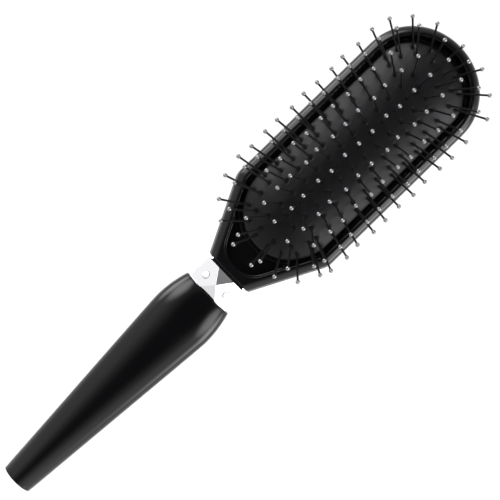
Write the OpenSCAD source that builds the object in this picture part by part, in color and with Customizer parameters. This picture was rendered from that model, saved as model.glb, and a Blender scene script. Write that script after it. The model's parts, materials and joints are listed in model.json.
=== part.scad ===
// Folding cushion hairbrush with a mirror on its back, in millimetres.
// The brush lies on its back: +Y runs to the far end of the head, +Z is the way the pins point.
// The origin is at the middle of its length, on the plane that it lies on.

/* [Head] */
// Length of the head's plastic body
head_l = 124.7; // [110:1:145]
// Widest width of the head
head_w = 50.9; // [44:1:60]
// Width of the head at its narrow end
head_low_w = 21.3; // [18:0.5:26]
// Length over which the head widens
head_taper_l = 29.3; // [24:0.5:40]
// Length of the rounded far end
head_end_l = 23.5; // [16:0.5:28]
// Thickness of the head, from the plane it lies on to the rim
head_t = 17; // [15:0.5:22]
// Thickness of the back cover
cover_t = 6; // [5.5:0.1:7]
// Step on each side from the back cover in to the front moulding
part_step = 0.2; // [0.1:0.05:0.6]
// How far the front moulding narrows on each side, from the back cover up to the rim
side_draft = 0.4; // [0.2:0.1:1.5]
// Rounding of the rim's outer edge
rim_r = 3.7; // [2:0.1:3.8]
// Rounding of the back's outer edge
back_r = 3.6; // [2:0.1:4]
// Rounding of the head's shoulders
shoulder_r = 9; // [7:0.5:14]
// Rounding of the head's two narrow corners
low_corner_r = 0.7; // [0.5:0.1:2]
// Share of the narrowing and the edge roundings that is kept at the narrow end
low_edge_share = 0.1; // [0:0.05:1]
// Wall of the two head mouldings
head_wall = 2.4; // [1.6:0.1:3]
// Width of the rim, from the outside to the recess
rim_w = 4.55; // [4:0.05:5.5]
// Width of the rim at the head's narrow end
rim_low_w = 2.9; // [2.8:0.1:5]
// Half width of the straight part of the recess's narrow end
recess_flat = 0.8; // [0.5:0.1:3]
// Depth of the recess below the rim
recess_depth = 5.5; // [4:0.1:6]
// Rounding of the narrow corners of the mirror and of the hollow in the head
inner_corner_r = 4.5; // [3:0.5:6]
// Solid length of the head at its narrow end
low_block_l = 10; // [9:0.5:14]
// Solid plastic left past the end of the hinge plate's screws
plate_screw_stop = 2; // [1.5:0.5:3]

/* [Head screws] */
// Radius of the cover screws' shanks
cover_screw_r = 0.9; // [0.7:0.05:1.2]
// Radius of the cover screws' heads
cover_screw_head_r = 1.9; // [1.6:0.1:2.4]
// Height of the cover screws' heads
cover_screw_head_t = 1.1; // [0.8:0.1:1.4]
// Length of the cover screws' shanks
cover_screw_l = 6; // [5:0.5:6.5]
// Radius of the cover's screw bosses
boss_r = 2.6; // [2.2:0.1:3.2]
// Sideways place of the paired cover screws
cover_screw_x = 12; // [9:0.5:13]
// Distance along the head between the cover screw rows
cover_screw_pitch = 33; // [26:1:36]

/* [Mirror] */
// Thickness of the mirror glass
glass_t = 1.8; // [1:0.1:2]
// Thickness of the adhesive tape
tape_t = 0.3; // [0.2:0.1:0.5]
// How far the glass lies behind the back's rim
glass_set_back = 0.2; // [0.1:0.1:0.5]
// Width of the back's rim around the mirror
mirror_rim_w = 6; // [5.4:0.1:8]
// Distance from the head's narrow end to the mirror
mirror_low = 6; // [5.5:0.5:12]
// Gap between the glass and its pocket
glass_gap = 0.25; // [0.1:0.05:0.5]
// Distance from the pocket's side to the tape
tape_edge = 2.4; // [1:0.2:4]

/* [Cushion] */
// Width of the cushion
pad_w = 38.8; // [34:0.2:39]
// Gap between the cushion's rounding and the recess's slanting sides
pad_side_gap = 0.97; // [0.9:0.01:1.6]
// Distance from the cushion to the head's far end
pad_far = 6.7; // [6.2:0.1:10]
// Length of the cushion's rounding towards the handle
pad_low_l = 20; // [14:0.5:24]
// Height of the cushion's upright edge above the recess floor
pad_edge_h = 3.3; // [2.4:0.1:3.8]
// Height of the cushion's dome above its edge
pad_rise = 4.3; // [2:0.1:6]
// Fullness of the dome's section
pad_fullness = 2.4; // [2:0.1:3.5]
// Thickness of the rubber
pad_t = 1.5; // [1:0.1:2]
// Thickness of the flange under the bezel
flange_t = 0.8; // [0.5:0.1:1.2]
// Width of the flange under the bezel
flange_w = 0.8; // [0.4:0.1:1]
// Width of the bezel
bezel_w = 1.3; // [1.2:0.05:1.4]
// Height of the bezel
bezel_h = 1.8; // [1.4:0.1:2.4]
// Gap between the bezel and the rubber
bezel_gap = 0.1; // [0.05:0.05:0.2]
// Least gap between the bezel and the recess's side
bezel_fit = 0.1; // [0.05:0.05:0.3]

/* [Pins] */
// Diameter of the pin wire
pin_d = 0.8; // [0.6:0.05:1.1]
// Length of a pin above the rubber, to the middle of its ball
pin_l = 17; // [12:0.5:20]
// Diameter of the ball tips
ball_d = 1.7; // [1.3:0.1:2.4]
// Diameter of the pins' flat heads
pin_head_d = 2; // [1.6:0.1:2.4]
// Thickness of the pins' flat heads
pin_head_t = 0.4; // [0.3:0.1:0.6]
// Depth of the pins in the rubber, as a share of its thickness
pin_root = 1.35; // [1.2:0.05:1.6]
// Distance between the pins of a row
pin_pitch = 6.4; // [5.5:0.1:9]
// Distance between the inner rows
row_gap = 4.75; // [4.5:0.05:5.5]
// Distance from the outer ring of pins to the cushion's edge
pin_inset = 2.55; // [2.4:0.05:3.5]
// Distance from the outer ring of pins to the second ring
ring_step = 3.15; // [3:0.05:4]
// Least distance from the second ring to an inner pin, where the head ends
ring_gap = 4.2; // [3.2:0.1:5]
// Shift along the head from one row to the next, per mm of sideways distance
row_skew = 0.3; // [0:0.01:0.4]
// Place of a pin of the middle row, from the middle of the cushion
row_start = -3.2; // [-3.2:0.1:3.2]
// Lean of the pins of the outer ring to the sides, in degrees
side_lean = 38.5; // [10:0.5:42]
// How the lean grows towards the sides, with 1 for evenly and less for sooner
lean_spread = 0.85; // [0.7:0.05:1.2]
// Lean that grows from the middle of the cushion to its two ends, in degrees
mid_lean = 13.5; // [0:0.5:20]
// Further lean that the dome's two round ends add, in degrees
round_lean = 16.5; // [0:0.5:25]
// Largest lean towards the far end, in degrees
far_lean = 20; // [10:1:30]
// Largest lean towards the handle, in degrees
low_lean = 30; // [10:1:35]
// Place along the head where no pin leans to the ends, from the middle of the cushion
upright_at = 24; // [0:1:30]
// Sideways set of all pins, in degrees
pin_set = -2.3; // [-6:0.1:6]
// Change of that set from the middle of the cushion to its far end, in degrees
pin_twist = 3; // [0:0.2:8]
// Unevenness of the pins' lean, in degrees
pin_stray = 1.6; // [0:0.1:3]

/* [Hinge] */
// Height of the hinge axis above the plane that the head lies on
hinge_z = 2.2; // [2.1:0.1:2.8]
// Outer radius of the knuckles
knuckle_r = 2; // [1.6:0.1:2]
// Radius of the hinge pin
hinge_pin_r = 0.8; // [0.6:0.05:1]
// Radial clearance of the pin in the head's knuckles
pin_run = 0.05; // [0.02:0.01:0.08]
// Radial clearance of the pin in the neck's knuckles
pin_hold = 0.01; // [0.005:0.005:0.02]
// Half width of the neck's middle knuckle
mid_knuckle = 2.4; // [1.8:0.1:3]
// Width of each of the head's two knuckles
head_knuckle_w = 3.4; // [2.5:0.1:4]
// Width of each of the neck's outer knuckles
neck_knuckle_w = 2.2; // [1.6:0.1:2.4]
// Thickness of the friction washers
washer_t = 0.4; // [0.2:0.1:0.6]
// Side play on each face of a washer
washer_play = 0.03; // [0.02:0.01:0.08]
// Clearance around the knuckles
knuckle_gap = 0.3; // [0.2:0.05:0.4]
// Gap between the head's plate and the neck
seam_gap = 0.25; // [0.2:0.05:0.4]
// Thickness of the head's hinge plate
plate_t = 0.85; // [0.7:0.05:1.2]
// How far the plate's screws lie below the middle of the head's narrow end
plate_screw_drop = 0.25; // [0.2:0.05:0.6]
// Distance from the plate's top to the head's rim
plate_edge = 0.9; // [0.8:0.1:1.5]
// Distance from the plate's sides to the head's sides
plate_side = 0.9; // [0.3:0.1:1.5]
// Gap between the folded handle and the back
fold_gap = 0.4; // [0.3:0.1:1]

/* [Neck] */
// Visible length of the neck
neck_l = 10.3; // [10:0.1:14]
// Width of the neck
neck_w = 19.4; // [19:0.1:20]
// Height of the neck, from its back to the point where the facets meet
neck_h = 14.6; // [13.8:0.1:16]
// Distance from the mouth of the handle to that point
facet_point = 4.75; // [4:0.1:6]
// Half width of the two end facets
end_facet_w = 4.04; // [3:0.1:5]
// Slope of the two side facets, in degrees
side_slope = 31; // [26:1:32]
// Bevel along the neck's back edges
neck_bevel = 1; // [0.4:0.1:1.4]
// Half width of the neck's cavity
cavity_w = 5.6; // [5.4:0.1:5.8]
// Height of the cavity's roof above the neck's back
cavity_h = 7.8; // [7.4:0.1:8.2]
// Wall at the two ends of the cavity
cavity_wall = 1.2; // [1:0.1:1.4]
// Half width of the spigot
spigot_w = 6.6; // [5.5:0.1:7]
// Height of the spigot
spigot_h = 8; // [6:0.5:8.5]
// Length of the spigot
spigot_l = 14; // [12:0.5:20]
// Distance from the neck's back to the spigot
spigot_lift = 2.4; // [2.2:0.1:2.8]
// Clearance of the spigot in the handle
spigot_gap = 0.1; // [0.05:0.05:0.2]

/* [Back plate] */
// Thickness of the neck's back plate
back_plate_t = 1.2; // [1:0.1:1.4]
// Half width of the back plate
back_plate_w = 8.1; // [7.9:0.1:8.2]
// Clearance around the back plate
back_plate_gap = 0.1; // [0.05:0.05:0.2]
// Distance from the neck's front face to the back plate
back_plate_front = 2.6; // [2.4:0.1:3]
// Distance from the handle's mouth to the back plate
back_plate_rear = 0.8; // [0.6:0.1:1]
// Shank radius of the small countersunk screws
small_screw_r = 0.7; // [0.5:0.05:0.8]
// Head radius of the small countersunk screws
small_screw_head_r = 1.2; // [1:0.05:1.25]
// Length of the back plate's screws
back_plate_screw_l = 5; // [4:0.5:6]
// Sideways place of the back plate's screws
back_plate_screw_x = 6.85; // [6.8:0.05:6.9]

/* [Latch] */
// Thickness of the spring clip
clip_t = 0.4; // [0.3:0.05:0.5]
// Half width of the gap between the prongs
prong_in = 1.7; // [1.4:0.1:2]
// Width of a prong
prong_w = 3; // [2.4:0.1:3.2]
// Height of the prongs' top above the neck's back
prong_z = 7; // [6.8:0.1:7.1]
// Reach of the prongs past the head's plate
prong_reach = 2.2; // [1.8:0.1:2.4]
// Height of the barbs
barb_h = 0.7; // [0.5:0.05:0.8]
// Play of a barb behind the plate
barb_play = 0.1; // [0.05:0.05:0.2]
// Play of a prong in its windows
window_play = 0.3; // [0.2:0.05:0.4]
// Length of the clip's bridge along the neck
bridge_l = 2.6; // [2.4:0.1:3]
// Head radius of the clip's screw
clip_screw_head_r = 1.25; // [1:0.05:1.3]
// Head height of the clip's screw
clip_screw_head_t = 0.8; // [0.6:0.1:1]
// Length of the clip's screw above the clip
clip_screw_l = 3; // [2.5:0.1:3.4]

/* [Buttons] */
// Radius of a release button
button_r = 1.5; // [1.2:0.1:1.6]
// Sideways place of a button on its facet
button_x = 5.5; // [5.2:0.1:5.7]
// Height of a button above its facet
button_up = 0.4; // [0.3:0.05:0.8]
// Travel of a button
button_travel = 1; // [0.8:0.05:1.1]
// Radial clearance of a button in its bore
button_run = 0.08; // [0.05:0.01:0.1]
// Wall that a button's flange stops against
button_wall = 1.8; // [1.6:0.1:2]
// Extra radius of a button's flange
button_flange = 0.55; // [0.4:0.05:0.6]
// Thickness of a button's flange
button_flange_t = 0.7; // [0.5:0.1:0.8]
// Radius of a button's foot
button_foot_r = 0.9; // [0.7:0.1:1]
// Gap between a button's foot and the clip
button_foot_gap = 0.1; // [0.05:0.05:0.2]

/* [Handle] */
// Length of the handle with its end cap
handle_l = 102.3; // [85:1:115]
// Widest width of the handle
handle_w = 26.4; // [23:0.2:30]
// Thickness of the handle where it is widest
handle_t = 14.8; // [13.6:0.2:18]
// Width of the handle at its mouth
mouth_w = 22.1; // [21:0.1:22.5]
// Thickness of the handle at its mouth
mouth_t = 12.8; // [12.4:0.1:14.4]
// Diameter of the handle's narrow end
handle_end_d = 13; // [12:0.1:15]
// Distance from the mouth to the widest place
belly_at = 14.2; // [12:0.2:20]
// Length over which the taper bends into the widest place
belly_bend = 1.5; // [1:0.5:8]
// Fullness of the swell between the mouth and the widest place
belly_fullness = 2.2; // [1.5:0.1:3]
// Squareness of the mouth's outline, with 2 for an ellipse
mouth_square = 2.6; // [2.4:0.1:3]
// Rounding of the mouth's edge
lip_r = 0.6; // [0.4:0.1:1.2]
// Wall of the handle
handle_wall = 2.3; // [1.8:0.1:2.6]
// Thickness of the end cap
cap_t = 1.4; // [1:0.1:2]
// Length of the end cap's plug
cap_plug_l = 6; // [4:0.5:8]
// Radius of the end cap's plug
cap_plug_r = 4.2; // [4:0.1:4.4]
// Clearance of the plug in the handle
cap_gap = 0.1; // [0.05:0.05:0.2]

/* [Spigot screws] */
// Shank radius of the spigot screws
spigot_screw_r = 1.2; // [1:0.05:1.3]
// Head radius of the spigot screws
spigot_screw_head_r = 2.2; // [1.8:0.1:2.4]
// Length of the spigot screws
spigot_screw_l = 7; // [6:0.5:8]
// Distance from the mouth to the first spigot screw
spigot_screw_first = 4; // [3.5:0.1:5]
// Distance between the spigot screws
spigot_screw_pitch = 6; // [5.5:0.1:7]

/* [Hidden] */
// How far a cut runs past the face that it opens
cut = 1;
// Radial clearance of a screw in its threaded hole, and in a hole that it passes through
thread_gap = 0.02;
pass_gap = 0.25;
// Set-back of a countersunk head's face
sink = 0.05;
// Steps in a corner, in a quarter of the head's end and in the dome's rise
arc_steps = 6;
end_steps = 14;
dome_steps = 8;
// Width of the dome's flat middle, in steps
dome_flat = 0.6;
// Part of a half turn that the pins at an end of the cushion stand on
end_arc = 144;
// Angles that spread the pins' unevenness, in degrees
stray_turns = [137, 211];
// Points around the handle, and rings along its lip, swell, taper and hollow
handle_sides = 44;
lip_steps = 4;
swell_steps = 5;
taper_steps = 16;
hollow_steps = 10;
// How much closer the taper's rings stand towards the widest place
taper_spread = 1.3;
// Sides of a pin and of a ball, and of the other round parts
pin_sides = 16;
$fn = 32;

// Places along the brush, from the end cap to the head's far end
overall_l = handle_l + neck_l + seam_gap + plate_t + head_l;
handle_end_y = -overall_l / 2;
mouth_y = handle_end_y + handle_l;
neck_face_y = mouth_y + neck_l;
plate_y = neck_face_y + seam_gap;
head_y = plate_y + plate_t;
head_end_y = head_y + head_l;
hinge_y = (neck_face_y + plate_y) / 2;

// Heights
neck_z = 2 * hinge_z + fold_gap;
apex_z = neck_z + neck_h;
recess_z = head_t - recess_depth;
floor_z = recess_z - head_wall;
pocket_z = glass_set_back + glass_t + tape_t;
cover_floor_z = pocket_z + head_wall / 2;
clip_z = neck_z + prong_z;
spigot_z = neck_z + spigot_lift;
cap_z = neck_z + handle_end_d / 2;
window_low_z = clip_z - clip_t - button_travel - window_play;

// Head outline
taper_angle = atan((head_w - head_low_w) / 2 / head_taper_l);
corner_half_turn = (90 - taper_angle) / 2;
recess_low_x = head_low_w / 2 + rim_low_w * tan(taper_angle) - rim_w / cos(taper_angle);
recess_corner_r = (recess_low_x - recess_flat) / tan(corner_half_turn);
end_centre_y = head_end_y - head_end_l;

// Cushion outline
pad_half = pad_w / 2;
pad_reach = norm([pad_half * cos(taper_angle), pad_low_l * sin(taper_angle)]);
pad_low_y = head_y
    + (pad_reach + pad_side_gap + rim_w - head_low_w / 2 * cos(taper_angle)) / sin(taper_angle);
pad_far_l = head_end_l - pad_far;
pad_mid_y = (pad_low_y - pad_low_l + head_end_y - pad_far) / 2;
pad_half_l = head_end_y - pad_far - pad_mid_y;
pad_edge_z = recess_z + pad_edge_h;

// Neck facets
apex_y = mouth_y + facet_point;
facet_drop = tan(side_slope) * end_facet_w;
front_slope = atan(facet_drop / (neck_face_y - apex_y));
rear_slope = atan(facet_drop / facet_point);
side_top_z = apex_z - tan(side_slope) * neck_w / 2;
button_z = apex_z - tan(side_slope) * button_x;

// Knuckle places along the axis
head_knuckle_x = mid_knuckle + washer_t + 2 * washer_play;
outer_knuckle_x = head_knuckle_x + head_knuckle_w + washer_t + 2 * washer_play;
hinge_half = outer_knuckle_x + neck_knuckle_w;

// Screw places
cover_screw_mid_y = (pad_low_y + end_centre_y) / 2;
cover_screws_at = [
    [0, cover_screw_mid_y],
    for (side = [-1, 1], row = [-1, 1])
        [side * cover_screw_x, cover_screw_mid_y + row * cover_screw_pitch]
];
plate_screws_x = [-head_low_w / 3, 0, head_low_w / 3];
plate_screw_z = (cover_t + recess_z) / 2 - plate_screw_drop;
plate_screw_l = low_block_l - plate_screw_stop;
plate_screw_head_r = cover_screw_r + plate_t - 2 * sink;
bridge_y = mouth_y + cavity_wall;
clip_screw_y = bridge_y + bridge_l / 2;
back_plate_screw_y = (neck_face_y - back_plate_front + mouth_y + back_plate_rear) / 2;
foot_z = clip_z + button_foot_gap + button_foot_r * sin(side_slope);
button_length = (button_z - foot_z) / cos(side_slope);

// ---- Outlines ----

function arc(centre, r, from, to) =
    [for (k = [0:arc_steps]) let (a = from + (to - from) * k / arc_steps)
        centre + r * [cos(a), sin(a)]];

function mirrored(half) = [for (k = [len(half) - 1:-1:0]) [-half[k][0], half[k][1]]];

// The head's outline, moved inwards by inset, and by low_inset at the narrow end
function head_path(inset, corner_r, low_inset) =
    let (
        w = head_w / 2 - inset,
        y_low = head_y + low_inset,
        shift = inset / cos(taper_angle),
        x_low = head_low_w / 2 + low_inset * tan(taper_angle) - shift,
        y_shoulder = head_y + (w - head_low_w / 2 + shift) / tan(taper_angle),
        r = max(1, shoulder_r - inset),
        half = concat(
            arc([x_low - corner_r * tan(corner_half_turn), y_low + corner_r], corner_r, -90,
                -taper_angle),
            arc([w - r, y_shoulder + r * tan(taper_angle / 2)], r, -taper_angle, 0),
            [for (k = [0:end_steps - 1]) let (a = 90 * k / end_steps)
                [w * cos(a), end_centre_y + (head_end_l - inset) * sin(a)]]
        )
    )
    concat(half, [[0, head_end_y - inset]], mirrored(half));

// An outline like the cushion's, from its half width and the lengths of its two rounded ends
function oval_path(w, low_l, far_l) =
    let (
        half_step = 90 / (2 * end_steps + 1),
        half = [
            for (k = [0:end_steps]) let (a = half_step * (2 * k + 1) - 90)
                [w * cos(a), pad_low_y + low_l * sin(a)],
            for (k = [0:end_steps - 1]) let (a = 90 * k / end_steps)
                [w * cos(a), end_centre_y + far_l * sin(a)]
        ]
    )
    concat(half, [[0, end_centre_y + far_l]], mirrored(half));

// The cushion's outline, grown by the same width all round
function pad_path(grow) = oval_path(pad_half + grow, pad_low_l + grow, pad_far_l + grow);

// The same outline shrunk towards the cushion's middle line, with w as its half width
function dome_path(w) = oval_path(w, pad_low_l * w / pad_half, pad_far_l * w / pad_half);

function at_height(path, z) = [for (p = path) [p[0], p[1], z]];

// Half width of the dome outline through a point, and the dome's height there
function dome_w(x, y) =
    y > end_centre_y ? norm([x, (y - end_centre_y) * pad_half / pad_far_l])
    : y < pad_low_y ? norm([x, (y - pad_low_y) * pad_half / pad_low_l])
    : abs(x);

function dome_z(w) = pad_edge_z + pad_rise * (1 - pow(min(1, w / pad_half), pad_fullness));

// ---- Shared shapes ----

// A closed solid through rings of points, each with as many points as the first
module ring_loft(rings) {
    n = len(rings[0]);
    last = len(rings) - 1;
    sides = [
        for (k = [0:last - 1], i = [0:n - 1])
            let (j = (i + 1) % n)
                each [
                    [k * n + i, (k + 1) * n + i, (k + 1) * n + j],
                    [k * n + i, (k + 1) * n + j, k * n + j]
                ]
    ];
    ends = [[for (i = [0:n - 1]) i], [for (i = [n - 1:-1:0]) last * n + i]];
    polyhedron([for (ring = rings) each ring], concat(ends, sides), convexity = 6);
}

module plate_of(path, z, h) {
    translate([0, 0, z])
        linear_extrude(h)
            polygon(path);
}

module along_x(x, r, l) {
    translate([x, hinge_y, hinge_z])
        rotate([0, 90, 0])
            cylinder(r = r, h = l);
}

module both_sides() {
    for (side = [0, 1])
        mirror([side, 0, 0])
            children();
}

// A countersunk screw with its head's face at the origin and its shank along +Z
module sunk_screw(shank_r, head_r, l, gap = 0) {
    cylinder(r1 = head_r + gap, r2 = shank_r + gap, h = head_r - shank_r);
    cylinder(r = shank_r + gap, h = l);
}

// The neck's own frame at a button: its facet at the origin, the facet's outward side along +Z
module on_facet() {
    translate([button_x, apex_y, button_z])
        rotate([0, side_slope, 0])
            children();
}

// ---- Head ----

// Heights and insets of the front moulding's side, from where its wall starts to roll in
// to the point where the roll has an angle left to turn
function rolled_edge(left) =
    let (
        lean = atan((head_t - cover_t) / side_draft),
        roll_inset = side_draft + rim_r * tan(lean / 2)
    )
    [for (k = [0:arc_steps]) let (a = lean + (left - lean) * k / arc_steps)
        [head_t - rim_r + rim_r * cos(a), roll_inset - rim_r * sin(a)]];

module head_frame() {
    rings = [for (e = concat([[cover_t, 0]], rolled_edge(0)))
        at_height(head_path(part_step + e[1], low_corner_r, e[1] * low_edge_share), e[0])];
    color("#101012")
        difference() {
            ring_loft(rings);
            plate_of(head_path(rim_w, recess_corner_r, rim_low_w), recess_z, recess_depth + cut);
            plate_of(head_path(head_wall, inner_corner_r, low_block_l), cover_t - cut,
                floor_z - cover_t + cut);
            for (p = cover_screws_at)
                translate([p[0], p[1], floor_z - cut])
                    cylinder(r = cover_screw_r + pass_gap, h = head_wall + 2 * cut);
            both_sides()
                catch_pocket();
            hinge_plate_screw_places()
                cylinder(r = cover_screw_r + thread_gap, h = plate_t + plate_screw_l + cut);
        }
}

// The room for a prong and its barb behind the plate
module catch_pocket() {
    translate([prong_in - window_play, head_y - cut, window_low_z])
        cube([prong_w + 2 * window_play, prong_reach + window_play + cut,
            clip_z + barb_h + window_play - window_low_z]);
}

module back_cover() {
    rings = [
        for (k = [0:arc_steps]) let (a = 90 * k / arc_steps, inset = back_r * (1 - sin(a)))
            at_height(head_path(inset, low_corner_r, inset * low_edge_share), back_r * (1 - cos(a))),
        at_height(head_path(0, low_corner_r, 0), cover_t)
    ];
    color("#101012")
        difference() {
            union() {
                difference() {
                    ring_loft(rings);
                    plate_of(head_path(head_wall, inner_corner_r, low_block_l), cover_floor_z,
                        cover_t);
                }
                for (p = cover_screws_at)
                    translate([p[0], p[1], cover_floor_z])
                        cylinder(r = boss_r, h = floor_z - cover_floor_z);
            }
            plate_of(head_path(mirror_rim_w, inner_corner_r, mirror_low), -cut, pocket_z + cut);
            for (p = cover_screws_at)
                translate([p[0], p[1], recess_z - cover_screw_l - cut / 2])
                    cylinder(r = cover_screw_r + thread_gap, h = cover_screw_l + cut);
            knuckle_room(-hinge_half - knuckle_gap, 2 * (hinge_half + knuckle_gap));
        }
}

// The slot that the knuckles turn in, along the hinge axis
module knuckle_room(x, l) {
    along_x(x, knuckle_r + knuckle_gap, l);
    translate([x, hinge_y - 2 * knuckle_r, -cut])
        cube([l, 3 * knuckle_r + knuckle_gap, hinge_z + cut]);
}

module cover_screws() {
    color("silver")
        for (p = cover_screws_at)
            translate([p[0], p[1], recess_z]) {
                cylinder(r = cover_screw_head_r, h = cover_screw_head_t);
                translate([0, 0, -cover_screw_l])
                    cylinder(r = cover_screw_r, h = cover_screw_l + cover_screw_head_t / 2);
            }
}

module mirror_glass() {
    inset = mirror_rim_w + glass_gap;
    color("#c8d4dc")
        plate_of(head_path(inset, inner_corner_r, mirror_low + glass_gap), glass_set_back, glass_t);
}

module mirror_tape() {
    color("white")
        plate_of(head_path(mirror_rim_w + tape_edge, inner_corner_r, mirror_low + tape_edge),
            glass_set_back + glass_t, tape_t);
}

module cushion_pad() {
    dome_widths = [for (k = [0:dome_steps]) pad_half * cos(90 * k / (dome_steps + dome_flat))];
    inner_share = (pad_half - pad_t) / pad_half;
    inside = [for (k = [dome_steps:-1:0]) let (w = dome_widths[k])
        at_height(dome_path(w * inner_share), dome_z(w) - pad_t)];
    outside = [for (w = dome_widths) at_height(dome_path(w), dome_z(w))];
    flange = [
        at_height(dome_path(pad_half * inner_share), recess_z),
        at_height(pad_path(flange_w), recess_z),
        at_height(pad_path(flange_w), recess_z + flange_t),
        at_height(pad_path(0), recess_z + flange_t)
    ];
    color("#24262b")
        ring_loft(concat(inside, flange, outside));
}

module pad_bezel() {
    color("#0c0c0e") {
        difference() {
            intersection() {
                plate_of(pad_path(bezel_w), recess_z, bezel_h);
                plate_of(head_path(rim_w + bezel_fit, recess_corner_r, rim_low_w), recess_z, bezel_h);
            }
            plate_of(pad_path(bezel_gap), recess_z - cut, bezel_h + 2 * cut);
            plate_of(pad_path(flange_w + bezel_gap), recess_z - cut, flange_t + bezel_gap + cut);
        }
    }
}

// ---- Pins ----

inner_rows = floor((pad_half - pin_inset - ring_step - row_gap / 2) / row_gap);
row_half_n = ceil(pad_half_l / pin_pitch);

// Place of a row's pin number k, along the head
function row_y(x, k) = pad_mid_y + row_start + k * pin_pitch - row_skew * x;

inner_pins = [
    for (row = [-inner_rows:inner_rows], k = [-row_half_n:row_half_n])
        let (x = row * row_gap, y = row_y(x, k))
            if ((y > pad_low_y && y < end_centre_y)
                    || dome_w(x, y) < pad_half - pin_inset - ring_step - ring_gap)
                [x, y]
];

// Pins at one inset from the cushion's edge, round one of its ends
function end_ring(inset, centre_y, end_l, turn) =
    let (w = pad_half - inset, l = end_l - inset, n = round(end_arc / 360 * PI * (w + l) / pin_pitch))
    [for (k = [0:n]) let (a = turn * (90 + end_arc * (k / n - 1 / 2)))
        [w * cos(a), centre_y + l * sin(a)]];

// Pins at one inset from the cushion's edge, all the way round
function ring_of(inset) =
    let (
        rise = sin(90 - end_arc / 2),
        far_y = end_centre_y + (pad_far_l - inset) * rise - pin_pitch / 2,
        low_y = pad_low_y - (pad_low_l - inset) * rise + pin_pitch / 2
    )
    concat(
        [for (side = [-1, 1], k = [-row_half_n:row_half_n])
            let (x = side * (pad_half - inset), y = row_y(x, k))
                if (y > low_y && y < far_y) [x, y]],
        end_ring(inset, end_centre_y, pad_far_l, 1),
        end_ring(inset, pad_low_y, pad_low_l, -1)
    );

pin_places = concat(inner_pins, ring_of(pin_inset + ring_step), ring_of(pin_inset));

// Lean to the sides at a place on the cushion
function across_lean(x, y) =
    sign(x) * side_lean * pow(abs(x) / (pad_half - pin_inset), lean_spread)
    + pin_set + pin_twist * (y - pad_mid_y) / pad_half_l;

// Lean to the ends at a place along the head
function along_lean(y) =
    let (
        far = max(0, y - end_centre_y + pin_pitch) / pad_far_l,
        low = max(0, pad_low_y - y) / pad_low_l,
        lean = mid_lean * (y - pad_mid_y - upright_at) / pad_half_l + round_lean * (far - low)
    )
    max(-low_lean, min(far_lean, lean));

// Each pin as its place on the dome and its direction
pins = [
    for (k = [0:len(pin_places) - 1])
        let (
            p = pin_places[k],
            stray = pin_stray * [sin(k * stray_turns[0]), sin(k * stray_turns[1])],
            u = [tan(across_lean(p[0], p[1]) + stray[0]), tan(along_lean(p[1]) + stray[1]), 1]
        )
            [[p[0], p[1], dome_z(dome_w(p[0], p[1]))], u / norm(u)]
];

// Turns +Z to a pin's direction
module aimed(place, u) {
    translate(place)
        rotate([0, acos(u[2]), atan2(u[1], u[0])])
            children();
}

module pin_shafts() {
    root_l = pad_t * pin_root;
    color("#161618")
        for (pin = pins)
            aimed(pin[0], pin[1]) {
                translate([0, 0, -root_l])
                    cylinder(r = pin_d / 2, h = pin_l + root_l, $fn = pin_sides);
                translate([0, 0, -root_l - pin_head_t])
                    cylinder(r = pin_head_d / 2, h = pin_head_t, $fn = pin_sides);
            }
}

module ball_tips() {
    color("silver")
        for (pin = pins)
            aimed(pin[0], pin[1])
                difference() {
                    translate([0, 0, pin_l])
                        sphere(r = ball_d / 2, $fn = pin_sides);
                    translate([0, 0, pin_l - ball_d])
                        cylinder(r = pin_d / 2 + thread_gap, h = ball_d, $fn = pin_sides);
                }
}

// ---- Hinge ----

module hinge_plate_screw_places() {
    for (x = plate_screws_x)
        translate([x, plate_y, plate_screw_z])
            rotate([-90, 0, 0])
                children();
}

module head_hinge_plate() {
    half_w = head_low_w / 2 - plate_side;
    top_turn = acos(1 - plate_edge / rim_r);
    side = concat([[half_w, hinge_z], [half_w, cover_t]],
        [for (e = rolled_edge(top_turn)) [half_w - e[1], e[0]]]);
    color("#c9c9cc")
        difference() {
            union() {
                translate([0, head_y, 0])
                    rotate([90, 0, 0])
                        linear_extrude(plate_t)
                            polygon(concat(side, mirrored(side)));
                both_sides()
                    along_x(head_knuckle_x, knuckle_r, head_knuckle_w);
            }
            along_x(-hinge_half, hinge_pin_r + pin_run, 2 * hinge_half);
            knuckle_room(-head_knuckle_x, 2 * head_knuckle_x);
            both_sides() {
                knuckle_room(head_knuckle_x + head_knuckle_w, hinge_half);
                translate([prong_in - window_play, plate_y - cut, window_low_z])
                    cube([prong_w + 2 * window_play, plate_t + 2 * cut,
                        clip_z + window_play / 2 - window_low_z]);
            }
            hinge_plate_screw_places()
                sunk_screw(cover_screw_r, plate_screw_head_r, plate_screw_l, sink);
        }
}

module hinge_plate_screws() {
    color("silver")
        hinge_plate_screw_places()
            translate([0, 0, sink])
                sunk_screw(cover_screw_r, plate_screw_head_r - sink, plate_screw_l);
}

module hinge_pin() {
    color("silver")
        along_x(-hinge_half, hinge_pin_r, 2 * hinge_half);
}

module hinge_washers() {
    color("#e8e6df")
        both_sides()
            for (x = [mid_knuckle, head_knuckle_x + head_knuckle_w])
                difference() {
                    along_x(x + washer_play, knuckle_r, washer_t);
                    along_x(x, hinge_pin_r + pin_run, washer_t + 2 * washer_play);
                }
}

// ---- Neck ----

module above_plane(slope) {
    big = 2 * neck_w;
    translate([0, apex_y, apex_z])
        rotate([slope, 0, 0])
            translate([-big / 2, -big / 2, 0])
                cube(big);
}

module faceted_body() {
    half = neck_w / 2;
    section = [
        [-half + neck_bevel, neck_z], [half - neck_bevel, neck_z], [half, neck_z + neck_bevel],
        [half, side_top_z], [0, apex_z], [-half, side_top_z], [-half, neck_z + neck_bevel]
    ];
    difference() {
        translate([0, neck_face_y, 0])
            rotate([90, 0, 0])
                linear_extrude(neck_l)
                    polygon(section);
        above_plane(-front_slope);
        above_plane(rear_slope);
    }
}

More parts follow.
